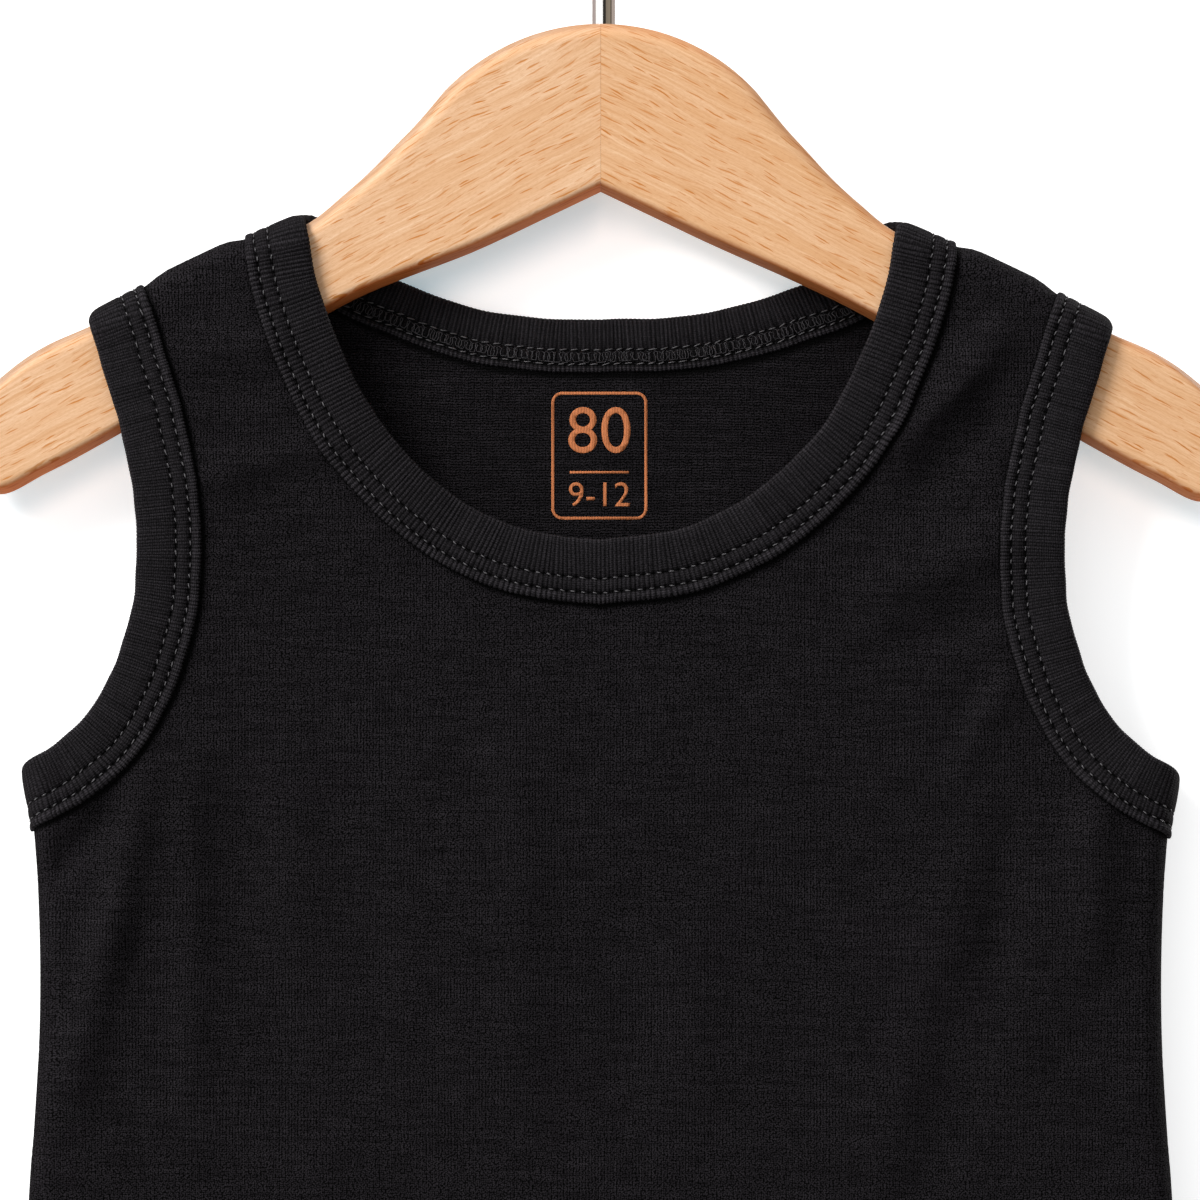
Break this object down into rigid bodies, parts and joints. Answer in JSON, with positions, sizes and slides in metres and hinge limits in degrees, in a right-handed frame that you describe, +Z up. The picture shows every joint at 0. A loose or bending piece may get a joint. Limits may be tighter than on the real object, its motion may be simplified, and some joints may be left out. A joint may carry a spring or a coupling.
{
  "type": "sleeveless baby bodysuit on a wooden hanger",
  "caption": "Sleeveless baby bodysuit in black jersey with rib-bound neck, armholes and legs and a press-stud crotch, hanging flat on a beech baby hanger with a wire hook.",
  "frame": {"origin": "the inner top of the hanger's hook, at the middle of the wire's thickness, where a rail or a peg carries it", "axes": "+Z up, +Y from the garment's front to its back, +X to the right for someone who faces the front"},
  "size_m": [0.2792, 0.0188, 0.5329],
  "materials": {
    "jersey": "matt cotton single jersey, fine upright wales, faint nap",
    "rib": "matt cotton rib, fine ribs square to the edge, dark grey twin stitching",
    "stud_paint": "black enamel, satin",
    "beech": "smooth beech with fine brown flecks, satin clear lacquer",
    "nickel": "bright nickel plate"
  },
  "bodies": {
    "root": {"front_panel": "jersey", "back_panel": "jersey", "neck_binding": "rib", "armhole_binding_left": "rib", "armhole_binding_right": "rib", "leg_binding_left": "rib", "leg_binding_right": "rib", "snap_cap_1": "stud_paint", "snap_cap_2": "stud_paint", "snap_cap_3": "stud_paint", "snap_socket_1": "nickel", "snap_socket_2": "nickel", "snap_socket_3": "nickel", "snap_stud_1": "nickel", "snap_stud_2": "nickel", "snap_stud_3": "nickel", "snap_ring_1": "nickel", "snap_ring_2": "nickel", "snap_ring_3": "nickel", "hanger_arm_left": "beech", "hanger_arm_right": "beech", "hanger_hook": "nickel"}
  },
  "joints": []
}
